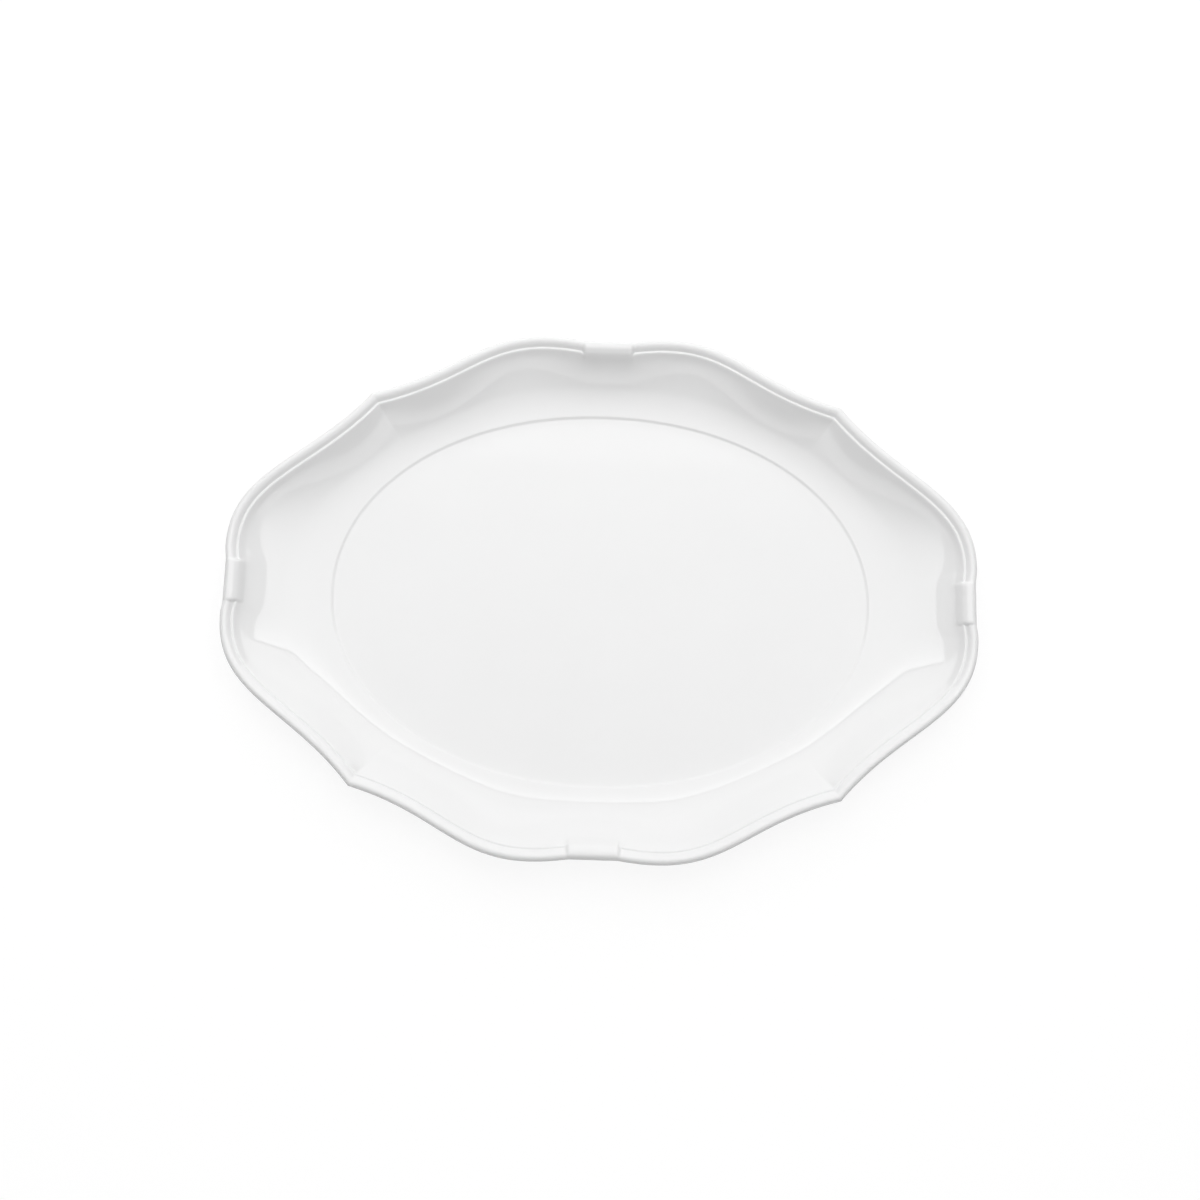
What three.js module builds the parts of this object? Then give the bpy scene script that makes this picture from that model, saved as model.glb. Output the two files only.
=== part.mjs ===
// An oval serving platter in white glazed porcelain, with a scalloped and moulded rim.
// Millimetres, +Z up, +X along the platter. The origin is at the middle of the foot ring's sole.
// The pieces are the fired body, the glaze over its face, lip and underside, and the glaze
// inside its foot ring. The sole of the foot ring is bare, as on any platter fired on its foot.
import * as THREE from "three";

// Overall sizes
const LENGTH = 380;
const WIDTH = 270.2;
const HEIGHT = 24.5;

// Walls
const WALL = 4.2; // of the rising wall, glazed
const WELL_THICKNESS = 4.5; // of the flat well, glazed
const GLAZE = 0.3;

// Outline, seen from above. Each quarter is a plain band on the long side, a lobe, a hollow sweep
// to a cusp, a hollow sweep to the next lobe, and a plain band on the end.
const BAND_HALF = { side: 12.3, end: 10.7 }; // half the length of a plain band
const BAND_INSET = { side: 1.6, end: 0.7 }; // how far a band lies inside its two lobes
const LOBE = { side: 30.7, end: 17.9 }; // a lobe's crest, from the platter's axis
const CUSP = { fromEnd: 69.1, fromSide: 33.9 };
const CUSP_HEADING = { before: -15.2, after: -50.7 }; // degrees, going clockwise
const SWEEP_REACH = { side: [36.7, 45.9], end: [48.5, 40.2] }; // tangent lengths, from start to finish
const BAND_HEADING = { side: 8.4, end: -92.7 }; // degrees, where a lobe meets its band
const LOBE_REACH = 6;
const BAND_SHOULDER = 0.25; // half the step in plan from a band to the moulding beside it

// Rim moulding: inward from the edge, and down from the platter's top, beside and on a band
const LIP_EDGE = { inward: 0, drop: 3.4, bandDrop: 3.2 };
const ROLL_CREST = { inward: 2.4, drop: 0.5, bandDrop: 0 };
const MOULDING = [
  { inward: 11, drop: 5.8, bandDrop: 5.8 }, // top of the wall
  { inward: 8.6, drop: 3.9, bandDrop: 3.1 }, // face under the bead
  { inward: 6.5, drop: 2.3, bandDrop: 1.2 }, // bead
  { inward: 5.9, drop: 2.35, bandDrop: 0.8 }, // groove
  { inward: 4.3, drop: 1.35, bandDrop: 0.2 }, // inner shoulder of the roll
  ROLL_CREST,
  { inward: 0.8, drop: 1, bandDrop: 1 }, // outer shoulder of the roll
  LIP_EDGE,
];
const LIP_THICKNESS = 4.9; // from the roll's crest to the underside of the lip
const LIP_UNDER = 1.8; // inward from the edge, where the lip turns under

// Well and wall
const WELL = { length: 273.8, width: 193.3 };
const WELL_SQUARENESS = 2.05; // 2 is an ellipse
const WELL_STEP = { width: 2, rise: 0.7 };
const WALL_FOOT_SLOPE = 0.25; // the wall's slope at its foot, as a share of its mean slope
const WALL_CURVE = 2.3; // how quickly the wall steepens towards its top; 2 is even
const WALL_RINGS = 2;
const WALL_FAN = 90; // spreads the wall's sections, so that they cross the wall squarely

// Foot ring, inward from the well's edge
const FOOT_HEIGHT = 3;
const FOOT_TOP = 4.4;
const FOOT_SOLE = { outer: 5.6, inner: 8.2 };
const FOOT_INNER_TOP = 10;
const GLAZE_LINE = 1.2; // height of the glaze's edge on both sides of the foot ring

const WELL_TOP = FOOT_HEIGHT + WELL_THICKNESS;

/** A stretch of outline from one point and heading to another, as stations with inward normals. */
function sweep(start, startHeading, startReach, end, endHeading, endReach, fractions) {
  const along = (degrees) => {
    const angle = THREE.MathUtils.degToRad(degrees);
    return new THREE.Vector2(Math.cos(angle), Math.sin(angle));
  };
  const curve = new THREE.CubicBezierCurve(
    start,
    start.clone().addScaledVector(along(startHeading), startReach),
    end.clone().addScaledVector(along(endHeading), -endReach),
    end,
  );
  return fractions.map((fraction) => {
    const tangent = curve.getTangent(fraction);
    return station(curve.getPoint(fraction), new THREE.Vector2(tangent.y, -tangent.x), false);
  });
}

function station(edge, inward, onBand) {
  return { edge, inward, onBand };
}

/** The stations of one quarter, from the middle of the long side to the middle of the end. */
function quarterOutline() {
  const side = WIDTH / 2;
  const end = LENGTH / 2;
  const sideBand = side - BAND_INSET.side;
  const endBand = end - BAND_INSET.end;
  const sideCorner = new THREE.Vector2(BAND_HALF.side, sideBand);
  const sideLobe = new THREE.Vector2(LOBE.side, side);
  const cusp = new THREE.Vector2(end - CUSP.fromEnd, side - CUSP.fromSide);
  const endLobe = new THREE.Vector2(end, LOBE.end);
  const endCorner = new THREE.Vector2(endBand, BAND_HALF.end);

  // At the cusp the inward normal is the mitre of its two sides.
  const halfTurn = THREE.MathUtils.degToRad((CUSP_HEADING.before - CUSP_HEADING.after) / 2);
  const middle = THREE.MathUtils.degToRad((CUSP_HEADING.before + CUSP_HEADING.after) / 2);
  const mitre = new THREE.Vector2(Math.sin(middle), -Math.cos(middle)).divideScalar(Math.cos(halfTurn));

  const onSide = (x) => station(new THREE.Vector2(x, sideBand), new THREE.Vector2(0, -1), true);
  const onEnd = (y) => station(new THREE.Vector2(endBand, y), new THREE.Vector2(-1, 0), true);
  const { before, after } = CUSP_HEADING;
  const [sideLobeReach, sideCuspReach] = SWEEP_REACH.side;
  const [endCuspReach, endLobeReach] = SWEEP_REACH.end;
  const toCusp = [0, 0.16, 0.32, 0.48, 0.65, 0.82];
  const fromCusp = [0.18, 0.36, 0.52, 0.68, 0.84, 1];
  return [
    ...[0, BAND_HALF.side / 2, BAND_HALF.side - BAND_SHOULDER].map(onSide),
    ...sweep(sideCorner, BAND_HEADING.side, LOBE_REACH, sideLobe, 0, LOBE_REACH, [0.02, 0.5]),
    ...sweep(sideLobe, 0, sideLobeReach, cusp, before, sideCuspReach, toCusp),
    station(cusp, mitre, false),
    ...sweep(cusp, after, endCuspReach, endLobe, -90, endLobeReach, fromCusp),
    ...sweep(endLobe, -90, LOBE_REACH / 2, endCorner, BAND_HEADING.end, LOBE_REACH / 2, [0.96]),
    ...[BAND_HALF.end - BAND_SHOULDER, BAND_HALF.end / 2, 0].map(onEnd),
  ];
}

/** The whole outline, clockwise, from one quarter and its mirror images. */
function wholeOutline() {
  const mirrored = (stations, x, y) =>
    stations
      .map(({ edge, inward, onBand }) => {
        const flip = new THREE.Vector2(x, y);
        return station(edge.clone().multiply(flip), inward.clone().multiply(flip), onBand);
      })
      .reverse();
  const quarter = quarterOutline();
  const half = [...quarter, ...mirrored(quarter, 1, -1).slice(1)];
  return [...half, ...mirrored(half, -1, 1).slice(1, -1)];
}

const STATIONS = wholeOutline();

/** One closed ring of points, with one point for each station. */
function ring(pointOf) {
  return STATIONS.map(pointOf);
}

/** A point on the rim, inward from the edge at the station. */
function rimPoint({ edge, inward }, distance, height) {
  const place = edge.clone().addScaledVector(inward, distance);
  return new THREE.Vector3(place.x, place.y, height);
}

/** A point on the oval that lies outside the well's edge by grow, across the wall from the station. */
function ovalPoint({ edge }, grow, height) {
  const halfLength = WELL.length / 2 + grow;
  const halfWidth = WELL.width / 2 + grow;
  const fan = { x: WELL.length / 2 + WALL_FAN, y: WELL.width / 2 + WALL_FAN };
  const angle = Math.atan2(edge.y / fan.y, edge.x / fan.x);
  const rounded = (value) => Math.sign(value) * Math.abs(value) ** (2 / WELL_SQUARENESS);
  const x = rounded(Math.cos(angle)) * halfLength;
  const y = rounded(Math.sin(angle)) * halfWidth;
  return new THREE.Vector3(x, y, height);
}

/** A point on the wall's face, from 0 at its foot to 1 at its top, sunk below it by depth. */
function wallPoint(place, share, depth) {
  const top = mouldingPoint(place, MOULDING[0]);
  const foot = ovalPoint(place, WELL_STEP.width / 2, WELL_TOP + WELL_STEP.rise);
  const rise = top.z - foot.z;
  const run = new THREE.Vector2(top.x - foot.x, top.y - foot.y);
  const steepening = 1 - WALL_FOOT_SLOPE;
  const climb = WALL_FOOT_SLOPE + steepening * WALL_CURVE * share ** (WALL_CURVE - 1);
  const angle = Math.atan((rise * climb) / run.length());
  const point = foot.clone().lerp(top, share);
  point.z = foot.z + rise * (WALL_FOOT_SLOPE * share + steepening * share ** WALL_CURVE);
  const outward = run.normalize().multiplyScalar(depth * Math.sin(angle));
  return point.add(new THREE.Vector3(outward.x, outward.y, -depth * Math.cos(angle)));
}

function mouldingPoint(place, { inward, drop, bandDrop }) {
  return rimPoint(place, inward, HEIGHT - (place.onBand ? bandDrop : drop));
}

/** Rings from the well's edge over the lip and under the wall to the glaze line on the foot ring. */
function faceAndUndersideRings() {
  const wallShares = Array.from({ length: WALL_RINGS }, (unused, index) => index / WALL_RINGS);
  const lipBottom = HEIGHT - ROLL_CREST.drop - LIP_THICKNESS;
  const glazedFoot = FOOT_SOLE.outer - GLAZE;
  return [
    ring((place) => ovalPoint(place, -WELL_STEP.width / 2, WELL_TOP)),
    ...wallShares.map((share) => ring((place) => wallPoint(place, share, 0))),
    ...MOULDING.map((level) => ring((place) => mouldingPoint(place, level))),
    ring((place) => rimPoint(place, LIP_UNDER, lipBottom)),
    ring((place) => wallPoint(place, 1, WALL)),
    ...wallShares.reverse().map((share) => ring((place) => wallPoint(place, share, WALL))),
    ring((place) => ovalPoint(place, -FOOT_TOP, WELL_TOP - WALL)),
    ring((place) => ovalPoint(place, -glazedFoot, GLAZE_LINE)),
  ];
}

/** Rings inside the foot ring, from the glaze line to the edge of the recess's ceiling. */
function recessRings() {
  return [
    ring((place) => ovalPoint(place, -FOOT_SOLE.inner - GLAZE, GLAZE_LINE)),
    ring((place) => ovalPoint(place, -FOOT_INNER_TOP, FOOT_HEIGHT)),
  ];
}

/** The rings sunk under their own surface by depth, along its normals. */
function sunk(rings, depth) {
  const count = STATIONS.length;
  const direction = (from, to) => to.clone().sub(from).normalize();
  return rings.map((points, row) =>
    points.map((point, column) => {
      const before = points.at(column - 1);
      const after = points[(column + 1) % count];
      const around = direction(before, point).add(direction(point, after));
      const across = new THREE.Vector3();
      if (row > 0) {
        across.add(direction(rings[row - 1][column], point));
      }
      if (row < rings.length - 1) {
        across.add(direction(point, rings[row + 1][column]));
      }
      const normal = across.cross(around).normalize();
      return point.clone().addScaledVector(normal, depth);
    }),
  );
}

/** Two triangles for a four-sided patch, split on its shorter diagonal, so that two surfaces through
 * the same points match whichever way each runs. */
function splitAcross([a, b, c, d], points) {
  const shorter = points[a].distanceTo(points[c]) < points[b].distanceTo(points[d]);
  return shorter ? [a, b, c, a, c, d] : [a, b, d, b, c, d];
}

/** A closed surface through the rings, with a point at the middle of each end. */
function closedSurface(firstMiddle, rings, lastMiddle) {
  const count = STATIONS.length;
  const points = [firstMiddle, ...rings.flat(), lastMiddle];
  const triangles = [];
  const at = (row, column) => 1 + row * count + (column % count);
  for (let column = 0; column < count; column += 1) {
    triangles.push(0, at(0, column + 1), at(0, column));
    for (let row = 0; row < rings.length - 1; row += 1) {
      const corners = [at(row, column), at(row, column + 1), at(row + 1, column + 1), at(row + 1, column)];
      triangles.push(...splitAcross(corners, points));
    }
    triangles.push(points.length - 1, at(rings.length - 1, column), at(rings.length - 1, column + 1));
  }
  const geometry = new THREE.BufferGeometry().setFromPoints(points);
  geometry.setIndex(triangles);
  geometry.computeVertexNormals();
  return geometry;
}

function piece(name, geometry, color, roughness) {
  const mesh = new THREE.Mesh(geometry, new THREE.MeshStandardMaterial({ color, roughness, metalness: 0 }));
  mesh.name = name;
  return mesh;
}

const onAxis = (height) => new THREE.Vector3(0, 0, height);

const coatRings = faceAndUndersideRings();
const coatBed = sunk(coatRings, GLAZE);
const recessCoatRings = recessRings();
const recessBed = sunk(recessCoatRings, GLAZE);
const wellBed = onAxis(WELL_TOP - GLAZE);
const recessBedMiddle = onAxis(FOOT_HEIGHT + GLAZE);
const soleRings = [
  ring((place) => ovalPoint(place, -FOOT_SOLE.outer, 0)),
  ring((place) => ovalPoint(place, -FOOT_SOLE.inner, 0)),
];

const platter = new THREE.Group();
platter.add(
  piece(
    "porcelain_body",
    closedSurface(wellBed, [...coatBed, ...soleRings, ...recessBed], recessBedMiddle),
    0xece8e0,
    0.6,
  ),
  piece(
    "glaze_face_and_underside",
    closedSurface(onAxis(WELL_TOP), [...coatRings, ...coatBed.toReversed()], wellBed),
    0xf4f4f2,
    0.12,
  ),
  piece(
    "glaze_foot_recess",
    closedSurface(recessBedMiddle, [...recessBed.toReversed(), ...recessCoatRings], onAxis(FOOT_HEIGHT)),
    0xf4f4f2,
    0.12,
  ),
);

export default platter;
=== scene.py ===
# %% [markdown]
# # An oval porcelain serving platter
#
# The platter is one fired piece: a white porcelain body with a glassy glaze over it. Nothing on it moves.
# The CAD model in the frame gives its exact place and size. This lesson rebuilds its surface finely, as
# three pieces that meet each other: the glaze over the face and the underside, the glaze inside the foot
# ring, and the bare porcelain of the body, which shows only on the sole of the foot ring.

# %% Load the frame
import math

import bpy
import numpy as np
from mathutils import Matrix, Vector


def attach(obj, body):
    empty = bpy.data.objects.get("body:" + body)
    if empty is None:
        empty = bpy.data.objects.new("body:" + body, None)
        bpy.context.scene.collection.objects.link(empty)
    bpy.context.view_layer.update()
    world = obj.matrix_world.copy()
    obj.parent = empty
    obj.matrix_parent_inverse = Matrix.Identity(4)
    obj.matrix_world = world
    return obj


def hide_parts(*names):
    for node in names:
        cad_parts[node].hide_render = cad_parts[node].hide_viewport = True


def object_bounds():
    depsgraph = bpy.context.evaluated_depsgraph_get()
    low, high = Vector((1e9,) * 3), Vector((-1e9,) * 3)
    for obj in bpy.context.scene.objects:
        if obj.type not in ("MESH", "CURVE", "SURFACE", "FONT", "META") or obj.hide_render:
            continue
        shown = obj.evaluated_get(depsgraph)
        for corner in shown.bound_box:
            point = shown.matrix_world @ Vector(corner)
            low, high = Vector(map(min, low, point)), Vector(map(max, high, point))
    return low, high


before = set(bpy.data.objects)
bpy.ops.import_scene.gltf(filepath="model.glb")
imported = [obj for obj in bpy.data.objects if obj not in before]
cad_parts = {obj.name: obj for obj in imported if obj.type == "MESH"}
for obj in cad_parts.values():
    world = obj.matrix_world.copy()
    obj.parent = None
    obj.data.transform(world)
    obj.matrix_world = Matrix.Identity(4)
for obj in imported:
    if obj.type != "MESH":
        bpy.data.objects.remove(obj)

cad_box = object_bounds()
MM = 0.001
low, high = (np.array(corner) / MM for corner in cad_box)
LENGTH, WIDTH, HEIGHT = high - low
print(f"platter {LENGTH:.1f} x {WIDTH:.1f} x {HEIGHT:.1f} mm")

# %% [markdown]
# ## The outline
#
# Seen from above, each quarter of the edge runs from a short straight band on the long side over a lobe,
# down a hollow sweep to a pointed cusp, and up another sweep and lobe to the band on the end. One cubic
# curve per sweep is enough, so the outline is a handful of points with headings, mirrored twice. A station
# is one place on the outline: its point on the edge, and the way inward from it. Stations crowd together at
# the cusps and at the ends of the bands, where the shape turns sharply, and spread out on the long smooth
# sweeps.

# %% Outline sizes, in millimetres
BAND_HALF_SIDE, BAND_HALF_END = 12.3, 10.7
BAND_INSET_SIDE, BAND_INSET_END = 1.6, 0.7
LOBE_SIDE, LOBE_END = 30.7, 17.9
CUSP_FROM_END, CUSP_FROM_SIDE = 69.1, 33.9
CUSP_BEFORE, CUSP_AFTER = -15.2, -50.7
MITRE_FADE, MITRE_POWER = 16.0, 1.5

SIDE_SHOULDER, SIDE_BAND_HEADING = 6.0, 8.4
END_SHOULDER, END_BAND_HEADING = 3.0, -92.7
SIDE_SWEEP_FROM_LOBE, SIDE_SWEEP_TO_CUSP = 36.7, 45.9
END_SWEEP_FROM_CUSP, END_SWEEP_TO_LOBE = 48.5, 40.2
ALONG_SIDE, DOWN_END = 0, -90

side, end = WIDTH / 2, LENGTH / 2
side_band, end_band = side - BAND_INSET_SIDE, end - BAND_INSET_END
cusp = (end - CUSP_FROM_END, side - CUSP_FROM_SIDE)
print(f"a cusp lies {cusp[0]:.1f} mm along and {cusp[1]:.1f} mm across from the middle")


# %% Curves of the outline
def heading(degrees):
    """The unit vector that points along a heading."""
    return np.array([math.cos(math.radians(degrees)), math.sin(math.radians(degrees))])


def cubic(start, start_heading, start_reach, finish, finish_heading, finish_reach, count=400):
    """Points on a cubic curve between two points with headings."""
    start, finish = np.array(start, float), np.array(finish, float)
    t = np.linspace(0, 1, count)[:, None]
    first = start + start_reach * heading(start_heading)
    second = finish - finish_reach * heading(finish_heading)
    return (1 - t) ** 3 * start + 3 * (1 - t) ** 2 * t * first + 3 * (1 - t) * t**2 * second + t**3 * finish


def spaced(curve, shares):
    """The points that lie at the given shares of a curve's length, and the distances along it."""
    steps = np.hypot(*np.diff(curve, axis=0).T)
    along = np.concatenate([[0], np.cumsum(steps)])
    wanted = shares * along[-1]
    return np.stack([np.interp(wanted, along, curve[:, axis]) for axis in (0, 1)], axis=1), wanted


CROWDING = 1.7


def crowded(count, at_start, at_end):
    """Shares from 0 to 1 that crowd towards one end or both."""
    t = np.linspace(0, 1, count)
    if at_start and at_end:
        return (1 - np.cos(math.pi * t)) / 2
    return t**CROWDING if at_start else 1 - (1 - t) ** CROWDING


# %% Stations of one quarter
ON_BAND, ON_SWEEP = 9, 70
BAND_POINTS = 50

side_lobe, end_lobe = (LOBE_SIDE, side), (end, LOBE_END)
side_corner, end_corner = (BAND_HALF_SIDE, side_band), (end_band, BAND_HALF_END)
side_shoulder = cubic(side_corner, SIDE_BAND_HEADING, SIDE_SHOULDER, side_lobe, ALONG_SIDE, SIDE_SHOULDER)
side_sweep = cubic(side_lobe, ALONG_SIDE, SIDE_SWEEP_FROM_LOBE, cusp, CUSP_BEFORE, SIDE_SWEEP_TO_CUSP)
end_sweep = cubic(cusp, CUSP_AFTER, END_SWEEP_FROM_CUSP, end_lobe, DOWN_END, END_SWEEP_TO_LOBE)
end_shoulder = cubic(end_lobe, DOWN_END, END_SHOULDER, end_corner, END_BAND_HEADING, END_SHOULDER)
stretches = [
    (np.linspace((0, side_band), side_corner, BAND_POINTS), crowded(ON_BAND, False, True), True, None),
    (np.vstack([side_shoulder, side_sweep[1:]]), crowded(ON_SWEEP, True, True), False, "end"),
    (np.vstack([end_sweep, end_shoulder[1:]]), crowded(ON_SWEEP, True, True), False, "start"),
    (np.linspace(end_corner, (end_band, 0), BAND_POINTS), crowded(ON_BAND, True, False), True, None),
]
mitre = heading((CUSP_BEFORE + CUSP_AFTER) / 2 - 90)

edge, inward, banded = [], [], []
for curve, shares, on_band, cusp_at in stretches:
    points, along = spaced(curve, shares)
    tangent = np.gradient(points, along, axis=0)
    tangent /= np.hypot(*tangent.T)[:, None]
    normal = np.stack([tangent[:, 1], -tangent[:, 0]], axis=1)
    if cusp_at:
        from_cusp = along if cusp_at == "start" else along[-1] - along
        pull = (np.clip(1 - from_cusp / MITRE_FADE, 0, 1) ** MITRE_POWER)[:, None]
        turned = normal * (1 - pull) + mitre * pull
        normal = turned / (turned * normal).sum(axis=1)[:, None]
    skip = 1 if edge else 0
    edge.append(points[skip:])
    inward.append(normal[skip:])
    banded.append(np.full(len(points) - skip, float(on_band)))
edge, inward, banded = np.vstack(edge), np.vstack(inward), np.concatenate(banded)
print(f"a quarter of the outline has {len(edge)} stations")


# %% The whole outline
def mirrored(array, signs):
    """A quarter or a half in the mirror, run backwards so that the outline goes on clockwise."""
    return (array * np.array(signs))[::-1]


def whole(array, vector):
    """All four quarters of a value that has one entry per station."""
    up_down, left_right = ((1, -1), (-1, 1)) if vector else (1, 1)
    half = np.concatenate([array, mirrored(array, up_down)[1:]])
    return np.concatenate([half, mirrored(half, left_right)[1:-1]])


EDGE, INWARD, BANDED = whole(edge, True), whole(inward, True), whole(banded, False)
STATIONS = len(EDGE)
gaps = np.hypot(*(np.roll(EDGE, -1, axis=0) - EDGE).T)
position = np.cumsum(gaps) - gaps
print(f"{STATIONS} stations, {gaps.min():.2f} to {gaps.max():.2f} mm apart, {gaps.sum():.0f} mm round")


# %% Averages along the outline
def averaged(reach):
    """Weights that average a value along the outline over a reach, as a matrix with one row per station."""
    distance = np.abs(position[:, None] - position[None, :])
    distance = np.minimum(distance, gaps.sum() - distance)
    weights = np.exp(-((distance / reach) ** 2) / 2) * (gaps + np.roll(gaps, 1))
    return weights / weights.sum(axis=1, keepdims=True)


# %% [markdown]
# ## The rim's moulding
#
# The rim is a rounded roll that dips to a fine groove, then a small bead, and then the wall. On the four
# bands the roll is wider and covers the groove and the bead. Both sections are curves through a few points,
# given as distances inward from the edge and down from the platter's top. Each section has the same number
# of points, so a station can lie anywhere between plain and banded.


# %% Sections of the moulding
def through(points, steps):
    """A smooth curve through points, with the given number of steps between each two."""
    points = np.array(points, float)
    before = np.vstack([2 * points[:1] - points[1:2], points[:-1]])
    after = np.vstack([points[1:], 2 * points[-1:] - points[-2:-1]])
    slopes = (after - before) / 2
    t = (np.arange(steps) / steps)[:, None]
    curve = []
    for start, finish, leave, arrive in zip(points[:-1], points[1:], slopes[:-1], slopes[1:]):
        curve.append(
            (2 * t**3 - 3 * t**2 + 1) * start
            + (t**3 - 2 * t**2 + t) * leave
            + (3 * t**2 - 2 * t**3) * finish
            + (t**3 - t**2) * arrive
        )
    return np.vstack([*curve, points[-1:]])


MOULDED = [
    (11.0, 5.8), (9.5, 4.7), (8.2, 3.5), (7.1, 2.55), (6.5, 2.32), (6.0, 2.42), (5.6, 2.3),
    (5.0, 1.8), (4.2, 1.15), (3.3, 0.7), (2.4, 0.5), (1.4, 0.65), (0.5, 1.4), (0.0, 3.4),
]  # fmt: skip
BAND = [
    (11.0, 5.8), (10.3, 5.05), (9.6, 4.2), (8.9, 3.4), (8.2, 2.65), (7.5, 1.95), (6.7, 1.3),
    (5.5, 0.6), (4.2, 0.14), (2.9, 0.02), (1.9, 0.15), (1.0, 0.75), (0.4, 1.8), (0.0, 3.3),
]  # fmt: skip
SECTION_STEPS = 3

moulded = through(MOULDED, SECTION_STEPS)
band = through(BAND, SECTION_STEPS)
print(f"the moulding has {len(moulded)} rings")

# %% [markdown]
# ## Walls, well and foot ring
#
# The wall rises from the well in a hollow curve, gently at its foot and steeply under the rim. A fine step
# marks the edge of the flat well. Rings of points follow the section from the middle of the well over the
# lip and down the underside to the foot ring. Each ring is an array with one point per station, so a whole
# surface is a stack of rings. The underside of the wall is its face pushed through by the wall's thickness.

# %% Sizes of the walls and the well, in millimetres
WALL = 4.2
WELL_THICKNESS = 4.5
GLAZE = 0.3
FOOT_HEIGHT = 3.0
WELL_TOP = FOOT_HEIGHT + WELL_THICKNESS
WELL_HALF = np.array([136.9, 96.65])
WELL_SQUARENESS = 2.05
WALL_FAN = 90.0
WALL_FOOT_SLOPE = 0.25
WALL_CURVE = 2.3
SCALLOP_FADE = 3.0
PLAIN_REACH = 22.0
STEP_GROW, STEP_RISE = 1.0, 0.7
CREST_DROP, LIP_THICKNESS = 0.5, 4.9
LIP_BOTTOM = HEIGHT - CREST_DROP - LIP_THICKNESS
GLAZE_LINE = 1.3

spread = EDGE / (WELL_HALF + WALL_FAN)
ACROSS = np.arctan2(spread[:, 1], spread[:, 0])
print(f"the well is {2 * WELL_HALF[0]:.1f} x {2 * WELL_HALF[1]:.1f} mm, its top {WELL_TOP} mm up")


# %% Points on the platter
def with_height(flat, height):
    """Places in plan and their height as points in space."""
    return np.column_stack([flat, np.broadcast_to(height, len(flat))])


def rim_ring(distance, height):
    """A ring inward from the edge by a distance, which may differ from station to station."""
    return with_height(EDGE + INWARD * np.reshape(distance, (-1, 1)), height)


def oval_ring(grow, height, share=1.0):
    """A ring outside the well's edge by grow, or that ring drawn in to a share of its size."""
    rounding = 2 / WELL_SQUARENESS
    turn = np.column_stack([np.cos(ACROSS), np.sin(ACROSS)])
    return with_height(np.sign(turn) * np.abs(turn) ** rounding * (WELL_HALF + grow) * share, height)


def blended(plain, on_band):
    """A value that changes from the moulding to the bands."""
    return plain * (1 - BANDED) + on_band * BANDED


def moulding_ring(index):
    """One ring of the rim, from 0 at the top of the wall to the last at the edge."""
    distance = blended(moulded[index, 0], band[index, 0])
    return rim_ring(distance, HEIGHT - blended(moulded[index, 1], band[index, 1]))


def wall_ring(share, depth=0.0):
    """A ring on the wall, from 0 at its foot to 1 at its top, sunk under the face by depth."""
    top = moulding_ring(0)
    foot = oval_ring(STEP_GROW, WELL_TOP + STEP_RISE)
    run = top[:, :2] - foot[:, :2]
    reach = np.hypot(*run.T)
    plain = averaged(PLAIN_REACH) @ reach
    travelled = plain * share + (reach - plain) * share**SCALLOP_FADE
    rise = top[:, 2] - foot[:, 2]
    steepness = 1 - WALL_FOOT_SLOPE
    height = foot[:, 2] + rise * (WALL_FOOT_SLOPE * share + steepness * share**WALL_CURVE)
    climb = rise * (WALL_FOOT_SLOPE + steepness * WALL_CURVE * share ** (WALL_CURVE - 1))
    slope = np.arctan(climb / (plain + (reach - plain) * SCALLOP_FADE * share ** (SCALLOP_FADE - 1)))
    outward = travelled + depth * np.sin(slope)
    return with_height(foot[:, :2] + run / reach[:, None] * outward[:, None], height - depth * np.cos(slope))


# %% Rings of the glazed face and underside
CREASE_ROWS, CREASE_PASSES = 8, 14
FACE_WALL_RINGS, UNDER_WALL_RINGS = 20, 12

WELL_SHARES = [0.02, 0.2, 0.4, 0.6, 0.75, 0.87, 0.95]
STEP = [(-1.3, 0), (-0.7, 0.08), (0.0, 0.4), (0.5, 0.62), (STEP_GROW, STEP_RISE)]
LIP = [
    (0.0, LIP_BOTTOM + 1.9), (0.15, LIP_BOTTOM + 0.95), (0.8, LIP_BOTTOM + 0.2), (2.2, LIP_BOTTOM),
]  # fmt: skip
FOOT_SIDE = [(-2.5, 3.45), (-4.0, 3.3), (-4.75, 2.9), (-5.1, 2.1), (-5.3, GLAZE_LINE)]

step = through(STEP, 2)[:-1]
lip = through(LIP, 4)[1:]
foot_side = through(FOOT_SIDE, SECTION_STEPS)
face = [oval_ring(step[0, 0], WELL_TOP, share) for share in WELL_SHARES]
face += [oval_ring(grow, WELL_TOP + rise) for grow, rise in step]
face += [wall_ring(share) for share in np.linspace(0, 1, FACE_WALL_RINGS)[:-1]]
face += [moulding_ring(index) for index in range(len(moulded))]
underside = [rim_ring(distance, height) for distance, height in lip]
underside += [wall_ring(share, WALL) for share in np.linspace(1, 0, UNDER_WALL_RINGS)]
underside += [oval_ring(grow, height) for grow, height in foot_side]
COAT = np.array(face + underside)
print(f"{len(face)} rings on the face, {len(underside)} on the underside")

# %% Ease the crease between the wall and the moulding
crease = len(face) - len(moulded)
near = slice(crease - CREASE_ROWS, crease + CREASE_ROWS)
before = slice(near.start - 1, near.stop - 1)
after = slice(near.start + 1, near.stop + 1)
for _ in range(CREASE_PASSES):
    COAT[near] = (COAT[before] + 2 * COAT[near] + COAT[after]) / 4
print(f"the glazed surface has {len(COAT)} rings")

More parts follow.
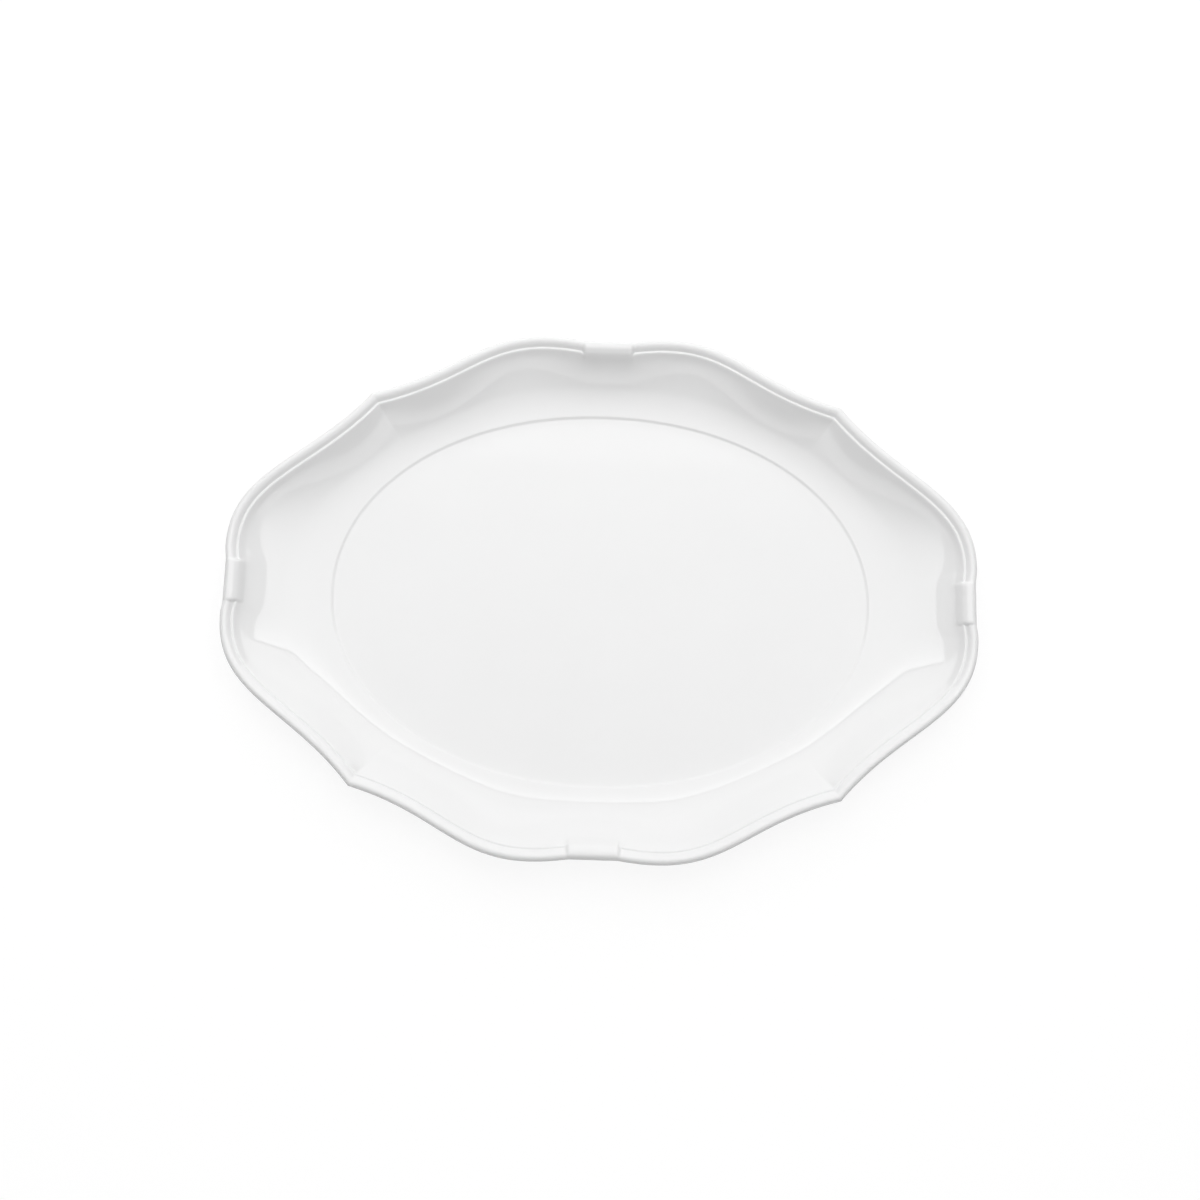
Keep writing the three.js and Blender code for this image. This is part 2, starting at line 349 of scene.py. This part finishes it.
# %% [markdown]
# ## Glaze softens every edge
#
# Molten glaze rounds off whatever it covers. Along each ring the points are averaged with their near
# neighbours, with weights that fade over a fraction of a millimetre. Only the crowded stations at the cusps
# and band ends have neighbours that near, so they turn into small rounded edges and the rest of the outline
# stays as drawn. The bed is the glaze's inner side. It keeps every third ring, and every ring of the
# underside from the inner edge of the lip to the foot ring, because its hollow there is tight.

# %% Soften and sink rings
SOFTNESS = 0.35


def unit(vectors):
    """The same directions, all one long."""
    return vectors / np.maximum(np.linalg.norm(vectors, axis=-1, keepdims=True), 1e-9)


def sunk(rings, depth):
    """The rings pushed under their own surface by depth."""
    around = unit(np.roll(rings, -1, axis=1) - np.roll(rings, 1, axis=1))
    across = unit(np.gradient(rings, axis=0))
    return rings + unit(np.cross(across, around)) * depth


# %% Rings of the glaze, its bed and the foot ring
BED_SPACING = 3

COAT = averaged(SOFTNESS) @ COAT
row = np.arange(len(COAT))
spread_out = (row % BED_SPACING == 0) & (row > 0)
under_wall = (row >= len(face) + len(lip) - 1) & (row <= len(COAT) - len(foot_side))
coat_bed = sunk(COAT, GLAZE)[spread_out | under_wall | (row == row[-1])]

RECESS_EDGE = -10.5
RECESS_SIDE = [(-8.5, GLAZE_LINE), (-8.75, 2.1), (-9.3, 2.75), (RECESS_EDGE, FOOT_HEIGHT)]
RECESS_SHARES = [0.95, 0.8, 0.6, 0.4, 0.2, 0.02]
SOLE_SECTION = [
    (-5.6, 0.9), (-5.62, 0.35), (-5.85, 0.04), (-6.3, 0),
    (-7.5, 0), (-7.95, 0.04), (-8.18, 0.35), (-8.2, 0.9),
]  # fmt: skip

RECESS = np.array(
    [oval_ring(grow, height) for grow, height in through(RECESS_SIDE, SECTION_STEPS)]
    + [oval_ring(RECESS_EDGE, FOOT_HEIGHT, share) for share in RECESS_SHARES]
)
recess_bed = sunk(RECESS, GLAZE)
SOLE = np.array([
    oval_ring(grow, max(height, 0.0)) for grow, height in through(SOLE_SECTION, SECTION_STEPS)
])
print(f"bed {len(coat_bed)}, recess {len(RECESS)}, sole {len(SOLE)} rings")


# %% A mesh from rings
def surface(name, rings, first_middle, last_middle, material):
    """A closed smooth piece through a stack of rings, with a point at the middle of each end."""
    points = np.vstack([[[0, 0, first_middle]], np.reshape(rings, (-1, 3)), [[0, 0, last_middle]]]) * MM
    first, last = 0, len(points) - 1

    def corner(ring, place):
        """The number of the point at a place on a ring."""
        return 1 + ring * STATIONS + place % STATIONS

    faces = [(first, corner(0, place + 1), corner(0, place)) for place in range(STATIONS)]
    end_ring = len(rings) - 1
    for ring in range(end_ring):
        below = ring + 1
        faces += [
            (corner(ring, place), corner(ring, place + 1), corner(below, place + 1), corner(below, place))
            for place in range(STATIONS)
        ]
    faces += [(last, corner(end_ring, place), corner(end_ring, place + 1)) for place in range(STATIONS)]
    mesh = bpy.data.meshes.new(name)
    mesh.from_pydata(points.tolist(), [], faces)
    mesh.shade_smooth()
    mesh.materials.append(material)
    piece = bpy.data.objects.new(name, mesh)
    bpy.context.collection.objects.link(piece)
    print(f"{name}: {len(mesh.vertices)} points, {len(mesh.polygons)} faces")
    return piece


# %% [markdown]
# ## Finishes
#
# Both finishes come out of the same kiln, so both carry a faint unevenness. A node group makes it once: a
# soft cloudiness over centimetres and a finer grain, as a value from 0 to 1 and a height. Each material
# places the group with its own sizes. The glaze is a bright white, almost as smooth as a mirror. The bare
# porcelain is a warmer, dry white, with a grain that the eye can just see.

# %% The group for fired unevenness
def fired_unevenness():
    """A node group that gives a cloudy value and a surface height."""
    group = bpy.data.node_groups.new("fired_unevenness", "ShaderNodeTree")
    sockets = [("Cloud Scale", 12.0), ("Grain Scale", 400.0), ("Grain Share", 0.2)]
    for label, value in sockets:
        socket = group.interface.new_socket(label, in_out="INPUT", socket_type="NodeSocketFloat")
        socket.default_value = value
    for label in ("Cloud", "Height"):
        group.interface.new_socket(label, in_out="OUTPUT", socket_type="NodeSocketFloat")
    nodes, links = group.nodes, group.links
    given = nodes.new("NodeGroupInput")
    result = nodes.new("NodeGroupOutput")
    place = nodes.new("ShaderNodeTexCoord")
    cloud = nodes.new("ShaderNodeTexNoise")
    cloud.inputs["Detail"].default_value = 2.0
    grain = nodes.new("ShaderNodeTexNoise")
    grain.inputs["Detail"].default_value = 3.0
    mix = nodes.new("ShaderNodeMix")
    for noise, scale in ((cloud, "Cloud Scale"), (grain, "Grain Scale")):
        links.new(place.outputs["Object"], noise.inputs["Vector"])
        links.new(given.outputs[scale], noise.inputs["Scale"])
    links.new(given.outputs["Grain Share"], mix.inputs["Factor"])
    links.new(cloud.outputs["Fac"], mix.inputs["A"])
    links.new(grain.outputs["Fac"], mix.inputs["B"])
    links.new(cloud.outputs["Fac"], result.inputs["Cloud"])
    links.new(mix.outputs["Result"], result.inputs["Height"])
    return group


UNEVENNESS = fired_unevenness()
print("group", UNEVENNESS.name, "with", len(UNEVENNESS.nodes), "nodes")


# %% A fired material
REFRACTION = 1.5


def fired_material(name, dark, light, smooth, rough, bump, cloud_scale, grain_scale, grain_share):
    """A material whose colour and roughness drift with the unevenness, with relief of bump metres."""
    material = bpy.data.materials.new(name)
    material.use_nodes = True
    nodes, links = material.node_tree.nodes, material.node_tree.links
    shader = nodes["Principled BSDF"]
    shader.inputs["IOR"].default_value = REFRACTION
    uneven = nodes.new("ShaderNodeGroup")
    uneven.node_tree = UNEVENNESS
    uneven.inputs["Cloud Scale"].default_value = cloud_scale
    uneven.inputs["Grain Scale"].default_value = grain_scale
    uneven.inputs["Grain Share"].default_value = grain_share
    colour = nodes.new("ShaderNodeMix")
    colour.data_type = "RGBA"
    colour.inputs["A"].default_value = (*dark, 1)
    colour.inputs["B"].default_value = (*light, 1)
    roughness = nodes.new("ShaderNodeMapRange")
    roughness.inputs["To Min"].default_value = smooth
    roughness.inputs["To Max"].default_value = rough
    relief = nodes.new("ShaderNodeBump")
    relief.inputs["Strength"].default_value = 1.0
    relief.inputs["Distance"].default_value = bump
    links.new(uneven.outputs["Cloud"], colour.inputs["Factor"])
    links.new(uneven.outputs["Cloud"], roughness.inputs["Value"])
    links.new(uneven.outputs["Height"], relief.inputs["Height"])
    links.new(colour.outputs["Result"], shader.inputs["Base Color"])
    links.new(roughness.outputs["Result"], shader.inputs["Roughness"])
    links.new(relief.outputs["Normal"], shader.inputs["Normal"])
    return material


white_glaze = fired_material(
    "white_glaze",
    dark=(0.86, 0.86, 0.86),
    light=(0.88, 0.88, 0.88),
    smooth=0.03,
    rough=0.07,
    bump=0.00002,
    cloud_scale=25.0,
    grain_scale=160.0,
    grain_share=0.1,
)
bare_porcelain = fired_material(
    "bare_porcelain",
    dark=(0.70, 0.66, 0.60),
    light=(0.82, 0.79, 0.74),
    smooth=0.55,
    rough=0.75,
    bump=0.00008,
    cloud_scale=60.0,
    grain_scale=2500.0,
    grain_share=0.8,
)
print("materials", white_glaze.name, bare_porcelain.name)

# %% [markdown]
# ## The three pieces
#
# The coat is a thin closed skin: its outside, then its bed back again, joined at the glaze line on the foot
# ring. The body fills the bed and ends in the bare sole. Making all three from the same rings keeps them in
# touch.

# %% Build the pieces
coat = surface(
    "glaze_coat",
    np.concatenate([COAT, coat_bed[::-1]]),
    WELL_TOP,
    WELL_TOP - GLAZE,
    white_glaze,
)
recess = surface(
    "glaze_in_foot_ring",
    np.concatenate([recess_bed[::-1], RECESS]),
    FOOT_HEIGHT + GLAZE,
    FOOT_HEIGHT,
    white_glaze,
)
body = surface(
    "bare_body",
    np.concatenate([coat_bed, SOLE, recess_bed]),
    WELL_TOP - GLAZE,
    FOOT_HEIGHT + GLAZE,
    bare_porcelain,
)

# %% Stand them in for the CAD nodes
for piece, node, slot in (
    (coat, "glaze_face_and_underside", "glaze"),
    (recess, "glaze_foot_recess", "glaze"),
    (body, "porcelain_body", "biscuit"),
):
    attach(piece, "root")
    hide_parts(node)
print("three pieces stand for three nodes")

# %% [markdown]
# ## Floor, light and camera
#
# A white platter needs a pale floor and broad soft light. A bright panel hangs overhead: its straight sides
# show as crisp lines on the glazed walls, and it fades out towards the near side, so the far wall has no
# line at all. Its far border is the brightest part, and draws the soft streaks at the two near corners.
# More light comes from beyond the far side, from a wide sheet and a low wall, which brightens the near wall
# and leaves the far wall in half shade. An area lamp is evenly bright, so each fading sheet is a row of
# narrow lamps.

# %% Floor
FLOOR_REACH = 3.0
FLOOR_WHITE = 0.9
FLOOR_ROUGHNESS = 0.9
FLOOR_GLOW, GLOW_STRENGTH = 0.8, 1.06

corners = [(-1, -1), (1, -1), (1, 1), (-1, 1)]
floor_mesh = bpy.data.meshes.new("floor")
floor_mesh.from_pydata([(FLOOR_REACH * x, FLOOR_REACH * y, 0) for x, y in corners], [], [(0, 1, 2, 3)])
floor = bpy.data.objects.new("floor", floor_mesh)
bpy.context.collection.objects.link(floor)
floor_paint = bpy.data.materials.new("floor_paint")
floor_paint.use_nodes = True
nodes, links = floor_paint.node_tree.nodes, floor_paint.node_tree.links
nodes["Principled BSDF"].inputs["Base Color"].default_value = (FLOOR_WHITE, FLOOR_WHITE, FLOOR_WHITE, 1)
nodes["Principled BSDF"].inputs["Roughness"].default_value = FLOOR_ROUGHNESS
nodes["Principled BSDF"].inputs["Specular IOR Level"].default_value = 0.0
glow = nodes.new("ShaderNodeEmission")
glow.inputs["Strength"].default_value = GLOW_STRENGTH
seen = nodes.new("ShaderNodeLightPath")
share = nodes.new("ShaderNodeMath")
share.operation = "MULTIPLY"
share.inputs[1].default_value = FLOOR_GLOW
lit = nodes.new("ShaderNodeMixShader")
links.new(seen.outputs["Is Camera Ray"], share.inputs[0])
links.new(share.outputs[0], lit.inputs["Fac"])
links.new(nodes["Principled BSDF"].outputs["BSDF"], lit.inputs[1])
links.new(glow.outputs["Emission"], lit.inputs[2])
links.new(lit.outputs["Shader"], nodes["Material Output"].inputs["Surface"])
floor_mesh.materials.append(floor_paint)
print("a white floor", 2 * FLOOR_REACH, "m square, which shows only faint shadows")


# %% Lamps
CEILING = 1.2


def lamp(name, middle, aim, size, brightness):
    """An evenly bright rectangle of light, facing the aim."""
    light = bpy.data.lights.new(name, "AREA")
    light.shape = "RECTANGLE"
    light.size, light.size_y = size
    light.energy = brightness * math.pi * size[0] * size[1]
    held = bpy.data.objects.new(name, light)
    held.location = middle
    held.rotation_euler = (Vector(aim) - Vector(middle)).to_track_quat("-Z", "Y").to_euler()
    held.visible_camera = False
    bpy.context.collection.objects.link(held)


def ceiling_sheet(name, half_width, near, far, strips, brightness):
    """A sheet of light under the ceiling, in strips whose brightness follows a function of their place."""
    edges = np.linspace(near, far, strips + 1)
    for index, (start, finish) in enumerate(zip(edges[:-1], edges[1:])):
        middle = (start + finish) / 2
        place, below = (0, middle, CEILING), (0, middle, 0)
        lamp(f"{name}_{index}", place, below, (2 * half_width, finish - start), brightness(middle))
    print(f"{name}: {strips} strips from {near} to {far} m")


def fading(y, dark_at, full_at):
    """0 where it is dark, 1 where it is full, and smooth between."""
    t = min(max((y - dark_at) / (full_at - dark_at), 0.0), 1.0)
    return t * t * (3 - 2 * t)


# %% Brightness of the two fading sheets
LEAST_GLOW, MIDDLE_GLOW, BORDER_GLOW = 0.05, 2.08, 1.2
MIDDLE_DARK, MIDDLE_FULL = -0.75, 0.35
BORDER_DARK, BORDER_FULL = 0.36, 0.56
NEAR_GLOW = 1.27
NEAR_OUTER_DARK, NEAR_OUTER_FULL = -1.9, -0.8
NEAR_INNER_DARK, NEAR_INNER_FULL = 0.0, -0.5


def overhead_glow(y):
    """Almost dark at the near side, full over the middle, and brighter still at the far border."""
    middle = MIDDLE_GLOW * fading(y, MIDDLE_DARK, MIDDLE_FULL)
    return LEAST_GLOW + middle + BORDER_GLOW * fading(y, BORDER_DARK, BORDER_FULL)


def near_glow(y):
    """Faint at both ends of the sheet and brightest between them."""
    inner = fading(y, NEAR_INNER_DARK, NEAR_INNER_FULL)
    return NEAR_GLOW * fading(y, NEAR_OUTER_DARK, NEAR_OUTER_FULL) * inner


# %% Hang the lamps
FAR_GLOW, WALL_GLOW, END_GLOW = 1.6, 1.2, 0.12
END_SHEET_OUT, END_SHEET_BACK, END_SHEET_SIZE = 1.5, 0.1, (1.6, 1.2)

ceiling_sheet("overhead_panel", half_width=0.57, near=-0.80, far=0.58, strips=20, brightness=overhead_glow)
ceiling_sheet("near_sheet", half_width=1.1, near=-1.90, far=-0.10, strips=12, brightness=near_glow)
ceiling_sheet("far_sheet", half_width=1.5, near=0.62, far=2.00, strips=1, brightness=lambda y: FAR_GLOW)
lamp("far_wall", middle=(0, 2.4, 0.7), aim=(0, 0, 0.7), size=(3.6, 1.4), brightness=WALL_GLOW)
for name, out in (("west_sheet", -END_SHEET_OUT), ("east_sheet", END_SHEET_OUT)):
    lamp(name, (out, END_SHEET_BACK, CEILING), (out, END_SHEET_BACK, 0), END_SHEET_SIZE, END_GLOW)
print(f"{len(bpy.data.lights)} lamps")

# %% Surroundings: dim grey as a light, white as a backdrop
SURROUNDINGS = 0.12

world = bpy.data.worlds.new("studio")
bpy.context.scene.world = world
world.use_nodes = True
nodes, links = world.node_tree.nodes, world.node_tree.links
nodes["Background"].inputs["Strength"].default_value = SURROUNDINGS
nodes["Background"].inputs["Color"].default_value = (1, 1, 1, 1)
backdrop = nodes.new("ShaderNodeBackground")
backdrop.inputs["Color"].default_value = (1, 1, 1, 1)
seen = nodes.new("ShaderNodeLightPath")
chosen = nodes.new("ShaderNodeMixShader")
links.new(seen.outputs["Is Camera Ray"], chosen.inputs["Fac"])
links.new(nodes["Background"].outputs["Background"], chosen.inputs[1])
links.new(backdrop.outputs["Background"], chosen.inputs[2])
links.new(chosen.outputs["Shader"], nodes["World Output"].inputs["Surface"])
print("surroundings", SURROUNDINGS)

# %% Camera
CAMERA_DISTANCE = 0.8529
TILT, TURN, ROLL = (math.radians(angle) for angle in (12.452, -2.151, 3.952))
SENSOR_WIDTH, LENS = 36, 50.09
AIM = Vector((-0.22, -0.98, WELL_TOP)) * MM

camera_data = bpy.data.cameras.new("camera")
camera_data.sensor_width = SENSOR_WIDTH
camera_data.lens = LENS
camera = bpy.data.objects.new("camera", camera_data)
stand = Matrix.Rotation(TURN, 4, "Z") @ Matrix.Rotation(TILT, 4, "X") @ Matrix.Rotation(ROLL, 4, "Z")
camera.matrix_world = Matrix.Translation(AIM + stand.to_3x3() @ Vector((0, 0, CAMERA_DISTANCE))) @ stand
bpy.context.collection.objects.link(camera)
bpy.context.scene.camera = camera
bpy.context.scene.view_settings.view_transform = "Standard"
print(f"camera {CAMERA_DISTANCE} m away, tilted {math.degrees(TILT):.1f} degrees")
